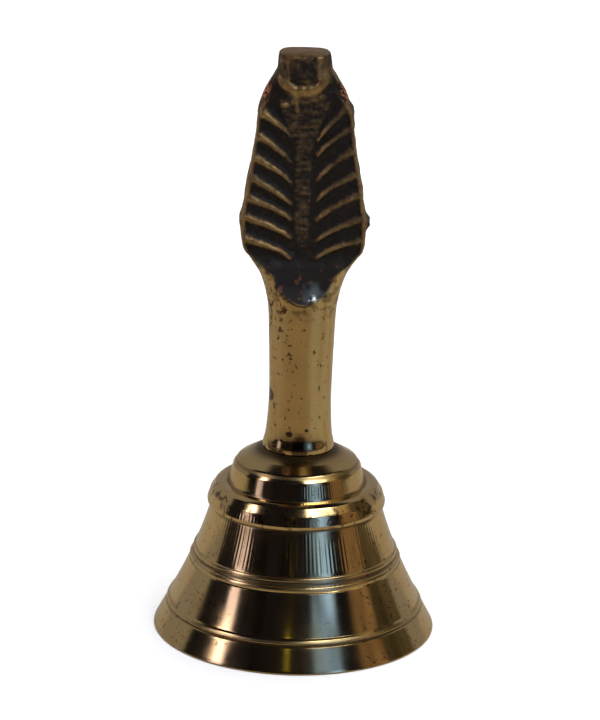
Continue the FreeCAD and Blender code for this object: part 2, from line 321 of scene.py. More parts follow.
def make_floor():
    mesh = bpy.data.meshes.new("floor")
    reach = FLOOR_REACH * MM
    corners = [(-reach, -reach, 0), (reach, -reach, 0), (reach, reach, 0), (-reach, reach, 0)]
    mesh.from_pydata(corners, [], [(0, 1, 2, 3)])
    mesh.materials.append(floor_sheet())
    floor = bpy.data.objects.new("floor", mesh)
    bpy.context.scene.collection.objects.link(floor)
    return floor


def add_light(name, kind, receivers):
    """A lamp that lights only some objects, and the collection that holds them."""
    lit = bpy.data.collections.new(name + "_lit")
    for receiver in receivers:
        lit.objects.link(receiver)
    lamp = bpy.data.objects.new(name, bpy.data.lights.new(name, kind))
    lamp.light_linking.receiver_collection = lit
    bpy.context.scene.collection.objects.link(lamp)
    return lamp, lit


def make_wash(floor):
    """A broad light that falls on the floor alone, so that the sheet is pale and the shadow is soft."""
    wash, _ = add_light("floor_wash", "SUN", [floor])
    wash.data.energy = WASH_STRENGTH
    wash.data.angle = math.radians(WASH_SPREAD_DEG)
    wash.rotation_euler = [math.radians(turn) for turn in WASH_TURN_DEG]


def make_underglow(pieces):
    """A light below the floor that reaches the bell's inside through the sheet, for looks from below."""
    glow, lit = add_light("underglow", "SPOT", pieces)
    glow.light_linking.blocker_collection = lit
    glow.data.spot_size = 2 * math.atan2(UNDERGLOW_REACH, UNDERGLOW_DEPTH)
    glow.data.spot_blend = UNDERGLOW_EDGE
    glow.data.shadow_soft_size = UNDERGLOW_RADIUS * MM
    glow.data.energy = UNDERGLOW_WATTS
    glow.location = (0, 0, -UNDERGLOW_DEPTH * MM)
    glow.rotation_euler = (math.pi, 0, 0)


# ================================================================== mesh helpers
HASH_STRIDES = np.array([73856093, 19349663, 83492791])
HASH_SEED_STEP = 7919
HASH_STIR = 1274126177


def hashed(points, seed):
    """A fixed pseudo-random number from 0 to 1 for each whole-number point."""
    with np.errstate(over="ignore"):
        mixed = (points.astype(np.int64) * HASH_STRIDES).sum(-1) + seed * HASH_SEED_STEP
        mixed = (mixed ^ (mixed >> 13)) * HASH_STIR
    return ((mixed ^ (mixed >> 16)) & 0xFFFF) / 0xFFFF


def lumps(points, size, seed, octaves=1):
    """Smooth noise from -1 to 1 with lumps of a size, at an array of points."""
    total = np.zeros(points.shape[:-1])
    for octave in range(octaves):
        scaled = points * (2**octave / size)
        cell = np.floor(scaled)
        share = scaled - cell
        share = share * share * (3 - 2 * share)
        value = 0
        for corner in np.ndindex(2, 2, 2):
            weight = np.prod(np.where(np.array(corner), share, 1 - share), -1)
            value = value + weight * hashed(cell + corner, seed + octave)
        total += (2 * value - 1) / 2**octave
    return total


def lumps_at(x, y, z, size, seed, octaves=1):
    """Lumps at places given by their coordinates."""
    return lumps(np.stack([x, y, z], -1), size, seed, octaves)


def smooth_step(value, low, high):
    share = np.clip((value - low) / (high - low), 0, 1)
    return share * share * (3 - 2 * share)


def smooth_span(value, rise_from, rise_to, fall_from, fall_to):
    """1 inside a span and 0 outside it, with smooth edges."""
    return smooth_step(value, rise_from, rise_to) * smooth_step(-value, -fall_to, -fall_from)


def ridge(distance, half_width):
    """A smooth ridge, 1 high in the middle."""
    return np.exp(-(distance / half_width)**2)


def smooth_through(stations, heights):
    """A smooth curve through given (height, size) stations, without overshoot."""
    z, size = (np.array(column, float) for column in zip(*stations))
    slope = np.diff(size) / np.diff(z)
    same_way = slope[:-1] * slope[1:] > 0
    inner = np.where(same_way, 2 * slope[:-1] * slope[1:] / np.where(same_way, slope[:-1] + slope[1:], 1), 0)
    tangent = np.concatenate([[slope[0]], inner, [slope[-1]]])
    index = np.clip(np.searchsorted(z, heights) - 1, 0, len(z) - 2)
    span = z[index + 1] - z[index]
    t = np.clip((heights - z[index]) / span, 0, 1)
    return ((1 + 2 * t) * (1 - t)**2 * size[index] + t * (1 - t)**2 * span * tangent[index]
            + t * t * (3 - 2 * t) * size[index + 1] + t * t * (t - 1) * span * tangent[index + 1])


def grid_mesh(name, rings, close_rings=False, cap_ends=False):
    """A mesh of quads from rings of points in mm, each ring closed on itself."""
    count, around = rings.shape[:2]
    index = np.arange(count * around).reshape(count, around)
    if close_rings:
        index = np.vstack([index, index[:1]])
    low, high = index[:-1], index[1:]
    quads = np.stack([low, np.roll(low, -1, 1), np.roll(high, -1, 1), high], -1).reshape(-1, 4)
    faces = quads.tolist()
    points = rings.reshape(-1, 3) * MM
    if cap_ends:
        faces.append(index[0][::-1].tolist())
        faces.append(index[-1].tolist())
    mesh = bpy.data.meshes.new(name)
    mesh.from_pydata(points.tolist(), [], faces)
    mesh.validate()
    mesh.shade_smooth()
    return mesh


def paint(mesh, name, values):
    """Store a value on each of the mesh's points."""
    layer = mesh.attributes.new(name, "FLOAT", "POINT")
    data = np.zeros(len(mesh.vertices), np.float32)
    data[:values.size] = values.ravel()
    layer.data.foreach_set("value", data)


def make_piece(name, mesh, body, node, material):
    piece = bpy.data.objects.new(name, mesh)
    bpy.context.scene.collection.objects.link(piece)
    mesh.materials.append(material)
    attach(piece, body)
    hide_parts(node)
    return piece


def rounded(corners, arc_step=0.06, shortest_side=0.02, side_share=0.49):
    """A profile through (r, z, rounding) corners, with arcs that take up to side_share of each side."""
    corners = [corner for index, corner in enumerate(corners)
               if math.dist(corner[:2], corners[index - 1][:2]) > shortest_side]
    count = len(corners)
    path = []
    for index, (r, z, rounding) in enumerate(corners):
        corner = np.array([r, z], float)
        if rounding == 0:
            path.append(corner)
            continue
        back = np.array(corners[index - 1][:2]) - corner
        ahead = np.array(corners[(index + 1) % count][:2]) - corner
        back_length, ahead_length = np.linalg.norm(back), np.linalg.norm(ahead)
        back, ahead = back / back_length, ahead / ahead_length
        half = math.acos(np.clip(back @ ahead, -1, 1)) / 2
        reach = min(rounding / math.tan(half), side_share * back_length, side_share * ahead_length)
        radius = reach * math.tan(half)
        centre = corner + (back + ahead) / np.linalg.norm(back + ahead) * radius / math.sin(half)
        start, end = corner + back * reach - centre, corner + ahead * reach - centre
        sweep = math.pi - 2 * half
        steps = max(3, int(radius * sweep / arc_step))
        for step in range(steps + 1):
            share = step / steps
            along = start * math.sin((1 - share) * sweep) + end * math.sin(share * sweep)
            path.append(centre + along / math.sin(sweep))
    return np.array(path)


def lathe(name, profile, segments):
    """Turn a closed profile of (r, z) points about the axis."""
    angle = np.arange(segments) * 2 * math.pi / segments
    r, z = profile[:, 0:1], profile[:, 1:2]
    rings = np.stack([r * np.cos(angle), r * np.sin(angle), z + 0 * angle], -1)
    return grid_mesh(name, rings[::-1], close_rings=True)


# ================================================================== cup, in mm
LIP_HEIGHT = 4.7
LIP_TOP_RADIUS = MOUTH_RADIUS - 2.35
LIP_WALL = 2.2
SKIRT_TOP = 24.1
SKIRT_TOP_RADIUS = 15.9
SKIRT_SAG = 0.65
SKIRT_WALL = 2.6
BEADS_HEIGHT = 14.85
BEAD_APART = 0.78
BEADS_MARGIN = 1.8
LIP_RIDGE_HEIGHT = 5.35
COLLAR_RADIUS = 16.65
COLLAR_TOP = 27.2
SHOULDER_RADIUS = 12.7
SHOULDER_FOOT = 28.1
SHOULDER_TOP = 32.5
CROWN_WALL = 3.0
HOLE_RADIUS = 2.25
SEAT_RADIUS = 6.8
CUP_SEGMENTS = 240
# Heights of the creases painted dark, grime and painted shade together, and where crests are rubbed dull,
# with how wide each is.
GRIME_AND_SHADE_HEIGHTS = (LIP_HEIGHT + 0.1, BEADS_HEIGHT, SKIRT_TOP, SHOULDER_FOOT + 0.2)
GRIME_AND_SHADE_HALF_WIDTH = 0.22
# A ring of grime and painted shade round the stem's seat: its strength and half width.
SEAT_GRIME_AND_SHADE = 1.1
SEAT_GRIME_AND_SHADE_HALF_WIDTH = 1.5
CREST_HEIGHTS = (LIP_RIDGE_HEIGHT, BEADS_HEIGHT - BEAD_APART, BEADS_HEIGHT + BEAD_APART)
CREST_HALF_WIDTH = 0.2


def skirt_radius(z, wall=0.0):
    """The skirt's hollow flare between the lip and the collar."""
    share = (z - LIP_HEIGHT) / (SKIRT_TOP - LIP_HEIGHT)
    straight = LIP_TOP_RADIUS + (SKIRT_TOP_RADIUS - LIP_TOP_RADIUS) * share
    return straight - 4 * SKIRT_SAG * share * (1 - share) - wall


def skirt_run(z_from, z_to, step=0.8):
    count = max(2, int(abs(z_to - z_from) / step))
    return [(skirt_radius(z), z, 0) for z in np.linspace(z_from, z_to, count)]


def skirt_line(z, depth=0.16, half_width=0.24):
    """A turned V line."""
    return [(skirt_radius(z - half_width), z - half_width, 0.06), (skirt_radius(z) - depth, z, 0.04),
            (skirt_radius(z + half_width), z + half_width, 0.06)]


def skirt_bead(z, half_height=0.34, proud=0.22):
    """A turned half-round bead."""
    return [(skirt_radius(z - half_height), z - half_height, 0.04),
            (skirt_radius(z - half_height) + proud, z - half_height * 0.75, 0.25),
            (skirt_radius(z + half_height) + proud, z + half_height * 0.75, 0.25),
            (skirt_radius(z + half_height), z + half_height, 0.04)]


def cup_outside():
    corners = [
        (MOUTH_RADIUS, 0.25, 0.3),
        (LIP_TOP_RADIUS + 0.1, LIP_HEIGHT - 0.25, 0.12),
        (LIP_TOP_RADIUS - 0.35, LIP_HEIGHT, 0.06),
    ]
    corners += [
        (skirt_radius(LIP_RIDGE_HEIGHT - 0.35) + 0.22, LIP_RIDGE_HEIGHT - 0.3, 0.2),
        (skirt_radius(LIP_RIDGE_HEIGHT + 0.25) + 0.16, LIP_RIDGE_HEIGHT + 0.3, 0.2),
        (skirt_radius(LIP_RIDGE_HEIGHT + 0.6), LIP_RIDGE_HEIGHT + 0.6, 0.1),
    ]
    corners += skirt_run(LIP_RIDGE_HEIGHT + 0.95, BEADS_HEIGHT - BEADS_MARGIN)
    corners += skirt_line(BEADS_HEIGHT - BEAD_APART - 0.66)
    corners += skirt_bead(BEADS_HEIGHT - BEAD_APART)
    corners += skirt_bead(BEADS_HEIGHT + BEAD_APART)
    corners += skirt_run(BEADS_HEIGHT + BEADS_MARGIN, SKIRT_TOP - 0.35)
    corners += [
        (SKIRT_TOP_RADIUS - 0.1, SKIRT_TOP + 0.05, 0.1),
        (COLLAR_RADIUS - 0.1, SKIRT_TOP + 0.3, 0.25),
        (COLLAR_RADIUS - 0.03, SKIRT_TOP + 0.9, 0.3),
        (COLLAR_RADIUS - 0.6, COLLAR_TOP - 0.45, 0.6),
        (COLLAR_RADIUS - 1.55, COLLAR_TOP + 0.95, 0.4),
        (COLLAR_RADIUS - 2.35, COLLAR_TOP + 1.4, 0.4),
        (SHOULDER_RADIUS + 0.4, COLLAR_TOP + 1.4, 0.15),
        (SHOULDER_RADIUS + 0.05, SHOULDER_FOOT + 0.3, 0.1),
        (SHOULDER_RADIUS - 0.8, SHOULDER_TOP - 0.7, 0.4),
        (SHOULDER_RADIUS - 1.65, SHOULDER_TOP + 0.5, 1.2),
        (SEAT_RADIUS + 2.2, SHOULDER_TOP + 1.65, 2.0),
        (SEAT_RADIUS + 0.25, CUP_TOP - 0.3, 0.5),
        (SEAT_RADIUS - 0.3, CUP_TOP, 0.1),
        (HOLE_RADIUS, CUP_TOP, 0.1),
    ]
    return corners


def cup_inside():
    crown = CUP_TOP - CROWN_WALL
    shoulder = SHOULDER_RADIUS - 2.4
    corners = [
        (HOLE_RADIUS, crown, 0.1),
        (shoulder, crown, 2.2),
        (shoulder, SHOULDER_FOOT, 1.2),
        (SKIRT_TOP_RADIUS - SKIRT_WALL, SKIRT_TOP, 1.2),
    ]
    corners += [(skirt_radius(z, SKIRT_WALL), z, 0) for z in np.arange(SKIRT_TOP - 2, LIP_HEIGHT, -1.0)]
    corners += [
        (LIP_TOP_RADIUS - SKIRT_WALL, LIP_HEIGHT, 0.8),
        (MOUTH_RADIUS - LIP_WALL, 0.0, 0.3),
        (MOUTH_RADIUS - 0.12, 0.0, 0.2),
    ]
    return corners


def refine(profile, longest=0.5):
    """Split the profile's long runs."""
    path = []
    for start, end in zip(profile, np.roll(profile, -1, 0)):
        pieces = max(1, int(np.ceil(np.linalg.norm(end - start) / longest)))
        path += [start + (end - start) * step / pieces for step in range(pieces)]
    return np.array(path)


def make_cup(material):
    profile = refine(rounded(cup_outside() + cup_inside()))
    mesh = lathe("bell_cup_turned", profile, CUP_SEGMENTS)
    r, z = profile[::-1].T
    in_skirt = (r < skirt_radius(np.clip(z, LIP_HEIGHT, SKIRT_TOP), SKIRT_WALL / 2)) & (z < SKIRT_TOP)
    in_crown = (r < SHOULDER_RADIUS - 1.2) & (z < CUP_TOP - CROWN_WALL + 0.5)
    inner = in_skirt | in_crown
    # Grime and painted shade: the creases, and a ring round the stem's seat, are painted darker.
    grime_and_shade = sum(ridge(z - height, GRIME_AND_SHADE_HALF_WIDTH) for height in GRIME_AND_SHADE_HEIGHTS)
    grime_and_shade = grime_and_shade * ((z < SKIRT_TOP + 1) | (r < SHOULDER_RADIUS + 0.45))
    round_seat = SEAT_GRIME_AND_SHADE * ridge(r - SEAT_RADIUS, SEAT_GRIME_AND_SHADE_HALF_WIDTH) * (z > CUP_TOP - 1.5)
    grime_and_shade = np.clip(grime_and_shade + round_seat, 0, 1)
    crest = sum(ridge(z - height, CREST_HALF_WIDTH) for height in CREST_HEIGHTS) * ~inner
    for name, values in (("crest", crest), ("inner", inner), ("grime_and_shade", grime_and_shade)):
        paint(mesh, name, values[:, None] * np.ones((1, CUP_SEGMENTS)))
    return make_piece("bell_cup_turned", mesh, "bell", "bell_cup", material)


# ================================================================== handle, in mm
STEM_TOP = CUP_TOP + 27.4
LEAF_ROOT = STEM_TOP + 10.8

# The stem is round, so its half width and half depth are the same, by height above the leaf's root.
STEM_RADII = [
    (-38.2, 6.65), (-37.4, 6.6), (-35.5, 6.2), (-32.5, 5.93), (-28.0, 5.75), (-23.5, 5.83), (-17.5, 6.0),
    (-11.5, 6.25),
]
# Half width seen from the front.
HALF_WIDTHS = STEM_RADII + [
    (-8.5, 6.75), (-5.5, 7.6), (-2.6, 8.95), (-1.0, 10.0), (0.3, 10.95), (2.0, 11.25), (5.5, 11.4),
    (8.5, 11.0), (12.5, 10.42), (17.0, 9.6), (21.5, 8.95), (25.2, 8.6), (27.5, 7.95), (30.5, 6.75),
    (32.3, 5.6), (33.5, 5.0), (35.7, 4.75), (36.2, 4.62), (36.5, 4.3),
]
# Half depth of the casting before its faces are sunk.
HALF_DEPTHS = STEM_RADII + [
    (-8.0, 6.3), (-4.5, 5.6), (-1.0, 4.6), (2.0, 4.4), (25.0, 4.1), (30.0, 3.9), (33.0, 4.15), (36.0, 4.15),
    (36.5, 3.8),
]
# How square each section is: 2 is round.
SQUARENESS = [(-38.2, 2.0), (-9.5, 2.0), (-4.5, 2.5), (0.5, 8.5), (25.0, 8.5), (31.0, 3.6), (36.5, 3.2)]
# Half depth of the scoop and of the leaf's face. Below FACE_FOOT the section is whole.
FACE_DEPTHS = [
    (-10.5, 7.2), (-9.7, 6.45), (-8.5, 5.85), (-7.2, 5.25), (-6.1, 4.85), (-4.5, 4.55), (-3.1, 4.3),
    (-1.5, 3.95), (0.5, 3.85), (5.0, 3.85), (25.0, 3.6), (29.0, 3.65), (31.5, 4.3), (36.5, 4.6),
]
FACE_FOOT = -10.4
FACE_SOFTNESS = 0.16
# Inner and outer ends of the ribs, by height above the leaf's root, on the left and the right of the spine.
LEFT_RIBS = [(-1.0, 2.2), (2.8, 6.3), (6.3, 9.9), (9.1, 13.5), (13.0, 17.3), (16.8, 21.3), (21.4, 25.6)]
RIGHT_RIBS = [(-0.9, 2.5), (2.3, 6.4), (6.2, 10.9), (9.9, 14.7), (13.7, 19.0), (18.4, 22.9), (21.1, 26.7)]
SPINE_HALF_WIDTH = 2.5
RIB_BOW = 0.74
RIB_HALF_WIDTH = 0.72
RIB_RUN = 8.0
LEAF_BORDER = 0.6
TROUGH_DEPTH = 0.95
GRAIN_DEPTH = 0.10
# Where the leaf starts and ends, for its edges, its face and its spine.
LEAF_EDGE_SPAN = (-4.0, 0.5, 31.5, 33.5)
LEAF_FACE_SPAN = (-3.6, 0.2, 31.0, 33.0)
SPINE_SPAN = (-3, 3, 27.5, 30.5)
# Marks on the front of the scoop, across from the axis and up from the leaf's root: a raised drop with a
# painted highlight, and a facet with a painted bluish reflection.
DROP = (1.6, -8.4)
FACET = (1.9, -7.3)
FACET_REACH = (1.9, 2.3)
FACET_GAP = (1.0, -6.1)
# How far the casting sits to the right of the bell's axis.
OFFSETS = [(-38.2, 0.12), (-25.0, 0.28), (-8.0, 0.3), (10.0, 0.12), (25.0, 0.05), (36.5, -0.3)]


def leaf_relief(x, z, border, seed, mirrored):
    """How high the leaf's pattern stands, from 0 in the hollows to 1 on the ribs, by place on its face."""
    height = np.zeros_like(x)
    wobble = 0.28 * lumps_at(x, z, 0 * x, 2.2, seed, 2)
    for side, ribs in ((-1, LEFT_RIBS), (1, RIGHT_RIBS)):
        if mirrored:
            side = -side
        run = np.clip((side * x - SPINE_HALF_WIDTH) / (border - LEAF_BORDER - SPINE_HALF_WIDTH), 0, 1)
        here = smooth_step(side * x, SPINE_HALF_WIDTH - 1.6, SPINE_HALF_WIDTH + 0.8)
        for number, (inner, outer) in enumerate(ribs):
            line = inner + (outer - inner) * run**RIB_BOW
            slope = (outer - inner) / RIB_RUN
            distance = (z - line) / math.sqrt(1 + slope**2) + 0.35 * wobble
            strength = 0.80 + 0.3 * lumps_at(x, 0 * z + number, 0 * x, 2.8, seed + 5)
            wide = RIB_HALF_WIDTH * (0.85 + 0.45 * run**2)
            height = np.maximum(height, ridge(distance, wide) * here * strength)
    rim = ridge(border - np.abs(x) + 0.25 + 0.5 * wobble, 0.62) * smooth_step(-z, -31, -26)
    height = np.maximum(height, 0.9 * rim)
    spine_width = 1.6 + 0.34 * np.clip(z - 18.5, 0, 9) - 0.08 * np.clip(6 - z, 0, 6)
    wrinkles = lumps_at(x * 0.5, z * 1.8, 0 * x, 1.0, seed + 9, 3)
    spine = smooth_step(-np.abs(x + 0.2), -spine_width - 0.9, -spine_width + 0.6)
    return np.maximum(height, spine * smooth_span(z, *SPINE_SPAN) * (0.43 + 0.14 * wrinkles))


def tip_relief(x, z, seed):
    """The casting's rough tip: a curved ledge under the knob and a few short ridges."""
    wobble = 0.3 * lumps_at(x, z, 0 * x, 1.7, seed, 2)
    ledge = 1.3 * ridge(z - 29.7 - 0.13 * (x + 0.35)**2 + wobble, 1.35)
    ledge = np.minimum(ledge * smooth_step(-np.abs(x + 0.35), -5.0, -4.0), 1)
    nub = ridge(np.hypot((x + 3.7) / 1.5, z - 27.3), 0.7)
    stalk = ridge(x + 1.7 + wobble, 0.7) * smooth_span(z, 24.5, 26.5, 29.5, 30.5)
    rough = 0.45 + 0.2 * lumps_at(x * 0.6, z, 0 * x, 1.2, seed + 2, 3)
    knob = smooth_step(z, 30.5, 32.0) * (0.60 + 0.3 * lumps_at(x, z * 0.3, 0 * x, 0.9, seed + 3, 2))
    knob_middle = smooth_step(-np.abs(x + 0.5), -2.4, -1.9) * smooth_span(z, 31.2, 31.8, 35.4, 36.2)
    knob = knob * (1 - 0.85 * knob_middle)
    middle = smooth_step(-np.abs(x), -5.0, -3.0) * smooth_step(z, 25.5, 28.0) * rough
    return np.maximum.reduce([ledge, nub, 0.8 * stalk, knob, middle])


def ring_heights():
    """Heights of the handle's rings above the leaf's root: close together where the casting has detail."""
    stem = np.linspace(-38.2, -11.0, 84, endpoint=False)
    neck = np.linspace(-11.0, -2.0, 56, endpoint=False)
    leaf = np.linspace(-2.0, 31.0, 196, endpoint=False)
    knob = np.linspace(31.0, 36.5, 38)
    return np.concatenate([stem, neck, leaf, knob])


def even_section(width, depth, squareness, around):
    """Points evenly spaced round a section, from its right side towards the back."""
    fine = np.linspace(0, math.pi / 2, 400)
    x = width * np.cos(fine)**(2 / squareness)
    y = depth * np.sin(fine)**(2 / squareness)
    length = np.concatenate([[0], np.cumsum(np.hypot(np.diff(x), np.diff(y)))])
    quarter = np.linspace(0, length[-1], around // 4 + 1)
    qx, qy = np.interp(quarter, length, x), np.interp(quarter, length, y)
    return (np.concatenate([qx[:-1], -qx[::-1][:-1], -qx[:-1], qx[::-1][:-1]]),
            np.concatenate([qy[:-1], qy[::-1][:-1], -qy[:-1], -qy[::-1][:-1]]))


def with_burrs(flat, width):
    """The plain casting's x, with lumps and burrs along its edges."""
    x, z = flat[..., 0], flat[..., 2]
    near_edge = smooth_step(np.abs(x) / width, 0.6, 0.95)
    wave = 0.16 * lumps(flat, 3.0, 21, 3) * smooth_span(z, *LEAF_EDGE_SPAN) * near_edge
    burr = (0.75 * ridge(z - 5.2, 0.8) + 0.35 * ridge(z - 26.0, 0.9)) * smooth_step(x / width, 0.8, 1.0)
    nick = 0.25 * ridge(z - 5.2, 1.5) * smooth_step(-x / width, 0.8, 1.0)
    return x * (1 + wave / width) + burr - nick


def cut_back(y, z, limit):
    """Half depth once the section is cut back to a limit, with a slightly softened edge."""
    whole = np.abs(y)
    over = whole - limit
    cut = 0.5 * (whole + limit - np.sqrt(over**2 + FACE_SOFTNESS**2))
    cut = cut + 0.5 * FACE_SOFTNESS * np.exp(-np.abs(over) * 4)
    return np.where(z < FACE_FOOT, whole, np.maximum(cut, 0))


def handle_coats(x, y, z, front, cut, flat, width, relief, facing):
    """What the handle's material needs to know at each point, from 0 to 1."""
    height = relief * facing + 0.5 * (1 - facing)
    knob = smooth_step(z, 31.0, 32.0)
    round_knob = 0.50 + 0.28 * lumps_at(x, y, z * 0.3, 0.9, 61, 2)
    height = height * (1 - knob) + knob * np.where(facing > 0.3, relief, round_knob)
    height = np.maximum(height, 0.85 * smooth_step(z, 36.25, 36.5)) * smooth_step(z, -4.5, -1.0)
    glossy = cut * smooth_step(-z, 1.0, 4.0)
    blot = 0.35 * lumps(flat, 1.2, 71, 2)
    # Painted reflection: a bluish patch on the scoop's facet, and a painted highlight on the raised drop.
    away = np.hypot((x - FACET[0]) / FACET_REACH[0], (z - FACET[1]) / FACET_REACH[1])
    facet_painted_reflection = glossy * front * smooth_step(blot - away, -1.2, 0.1)
    facet_painted_reflection = facet_painted_reflection * (1 - ridge(np.hypot(x - FACET_GAP[0], z - FACET_GAP[1]), 0.45))
    facet_painted_reflection = 0.6 * facet_painted_reflection + front * ridge(np.hypot(x - DROP[0], z - DROP[1]), 0.7)
    return {
        "relief": height,
        "patina": np.maximum(smooth_step(z, -0.5, 1.0), cut),
        "glossy": glossy,
        "facet_painted_reflection": facet_painted_reflection,
        # Copper-red edges under the knob, painted bright as glints.
        "copper_and_glint": ridge(z - 29.3, 1.3) * smooth_step(np.abs(x) / width, 0.85, 0.97),
    }


def handle_rings(around=248):
    """The casting's rings of points and its coats."""
    heights = ring_heights()
    width, depth, square, face, offset = (
        smooth_through(stations, heights)[:, None]
        for stations in (HALF_WIDTHS, HALF_DEPTHS, SQUARENESS, FACE_DEPTHS, OFFSETS))
    sections = [even_section(*size, around) for size in np.hstack([width, depth, square])]
    x, y = (np.array(column) for column in zip(*sections))
    z = heights[:, None] + 0 * x
    flat = np.stack([x, y, z], -1)
    front = y < 0
    border = width * np.clip(1 - np.clip(face / depth, 0, 1)**square, 0, 1)**(1 / square)
    x = with_burrs(flat, width)

    # The faces: cut back to the scoop and the leaf, then carved with the pattern.
    scoop = ridge(z + 5.0, 3.2) * np.clip(1 - (x / 6.0)**2, 0, 1)
    limit = face - 0.45 * scoop
    size = cut_back(y, z, limit)
    relief = np.where(front, leaf_relief(x, z, border, 3, False), leaf_relief(x, z, border, 40, True))
    relief = np.maximum(relief, np.where(front, tip_relief(x, z, 3), tip_relief(-x, z, 44)))
    on_leaf = smooth_span(z, *LEAF_FACE_SPAN)
    facing = smooth_step(size / np.maximum(limit, 0.1), 0.35, 0.9)
    grain = lumps(flat + 50 * front[..., None], 0.9, 11, 3)
    size = size - on_leaf * facing * TROUGH_DEPTH * (1 - relief) + GRAIN_DEPTH * grain * on_leaf * facing
    size = size + 0.35 * front * ridge(np.hypot(x - DROP[0], z - DROP[1]), 0.55)
    scoop_grain = GRAIN_DEPTH * lumps(flat, 1.3, 31, 2) * smooth_step(z, -9.5, -7.5) * (1 - on_leaf)
    size = size + scoop_grain * smooth_step(-size, -limit, -limit + 0.4)
    y = np.where(front, -1, 1) * size
    x = x + 0.07 * grain * on_leaf * (1 - facing) * np.sign(x)

    cut = smooth_step(np.abs(flat[..., 1]) - size, 0.05, 0.3) * (z > -10.6)
    rings = np.stack([x + offset, y, z + LEAF_ROOT], -1)
    return rings, handle_coats(x, y, z, front, cut, flat, width, relief, facing)


def make_handle(material):
    rings, coats = handle_rings()
    mesh = grid_mesh("handle_cast", rings, cap_ends=True)
    for name, values in coats.items():
        paint(mesh, name, values)
    make_piece("handle_cast", mesh, "bell", "handle", material)


# ================================================================== materials
BRASS = (0.60, 0.43, 0.205)
BRASS_CLOUD = (0.56, 0.385, 0.165)
INSIDE_BRASS = (0.34, 0.225, 0.09)
COLLAR_STAIN = (0.13, 0.055, 0.025)
# Colour for grime and painted shade in the cup's creases and round the stem's seat.
GRIME_AND_SHADE = (0.05, 0.033, 0.017)
# The stem's colours hold painted reflections: paler at the left and right, darker down the middle; the middle
# colour also tints streaks.
STEM_LEFT_REFLECTION = (0.53, 0.375, 0.17)
STEM_MIDDLE_SHADE_AND_STREAKS = (0.46, 0.285, 0.105)
STEM_RIGHT_REFLECTION = (0.60, 0.445, 0.21)
TARNISH = (0.20, 0.115, 0.045)
PIT_BROWN = (0.17, 0.075, 0.028)
MARK_DARK = (0.035, 0.022, 0.015)
PATINA_DARK = (0.022, 0.016, 0.011)
PATINA_BROWN = (0.045, 0.032, 0.022)
RIB_TAN = (0.45, 0.29, 0.12)
RIB_BROWN = (0.33, 0.20, 0.085)
SCOOP_BLACK = (0.045, 0.038, 0.034)
SCOOP_ROSE = (0.22, 0.085, 0.05)
# Painted bluish reflection on the scoop's facet and highlight on its drop.
FACET_PAINTED_REFLECTION = (0.46, 0.52, 0.52)
# Copper-red, brightened into a painted glint.
COPPER_AND_GLINT = (0.95, 0.36, 0.15)
CHATTER_COUNT = 150.0
CUP_RELIEF = 0.005
CASTING_RELIEF = 0.06
SMALL_METAL_RELIEF = 0.03


def tarnish_spots(tree, here, x, y, z):
    """Specks in patches all over the cup, and more flecks on its left and right below the collar."""
    specks = ramp(tree, noise(tree, here, 0.9, detail=2.0), 0.67, 0.73)
    patches = ramp(tree, noise(tree, here, 9.0), 0.5, 0.62)
    flank = times(tree, ramp_mm(tree, calc(tree, "ABSOLUTE", x), 9.0, 13.0), ramp_mm(tree, z, 24.0, 20.0))
    flecks = noise(tree, combine(tree, x, y, times(tree, z, 1.6)), 1.1, detail=3.0)
    flecks = times(tree, ramp(tree, flecks, 0.60, 0.66), flank)
    return calc(tree, "MAXIMUM", times(tree, specks, patches), flecks)


def tool_marks(tree, here, x, y, z):
    """Fine turned lines, and chatter in patches over the upper half, but not on the collar's top."""
    lines = turned_lines(tree, x, y, z, 0.35)
    chatter = calc(tree, "SINE", times(tree, calc(tree, "ARCTAN2", y, x), CHATTER_COUNT))
    collar_top = band_mm(tree, z, 26.0, 26.4, 28.8, 29.2)
    upper = times(tree, band_mm(tree, z, 16.0, 17.0, 31.0, 31.6), calc(tree, "SUBTRACT", 1.0, collar_top))
    patches = ramp(tree, noise(tree, here, 7.0), 0.34, 0.56)
    return plus(tree, times(tree, lines, 0.8), times(tree, chatter, 1.2, upper, patches))


def polished_brass():
    material, tree, shader = new_material("polished_brass_turned")
    here, x, y, z = place_of(tree)
    inner, grime_and_shade = painted(tree, "inner"), painted(tree, "grime_and_shade")
    cloud = noise(tree, here, 6.0, detail=4.0)
    stains = ramp(tree, noise(tree, here, 1.4, detail=5.0, roughness=0.65), 0.52, 0.60)
    on_collar = band_mm(tree, z, SKIRT_TOP - 0.2, SKIRT_TOP + 0.3, SHOULDER_FOOT - 0.3, SHOULDER_FOOT + 0.5)
    tone = blend(tree, ramp(tree, cloud, 0.35, 0.7), BRASS, BRASS_CLOUD)
    tone = blend(tree, times(tree, tarnish_spots(tree, here, x, y, z), 0.75), tone, TARNISH)
    tone = blend(tree, times(tree, stains, on_collar, 0.85), tone, COLLAR_STAIN)
    # The creases and the stem's seat are darkened by grime and painted shade.
    tone = blend(tree, times(tree, grime_and_shade, 0.85), tone, GRIME_AND_SHADE)
    tone = blend(tree, times(tree, inner, 0.8), tone, INSIDE_BRASS)
    plug(tree, shader.inputs["Base Color"], tone)
    shader.inputs["Metallic"].default_value = 1.0
    rough = plus(tree, ramp(tree, cloud, 0.3, 0.75, 0.10, 0.17), times(tree, inner, 0.22),
                 times(tree, grime_and_shade, 0.3), times(tree, painted(tree, "crest"), 0.2))
    plug(tree, shader.inputs["Roughness"], rough)
    bump(tree, shader, tool_marks(tree, here, x, y, z), CUP_RELIEF)
    return material


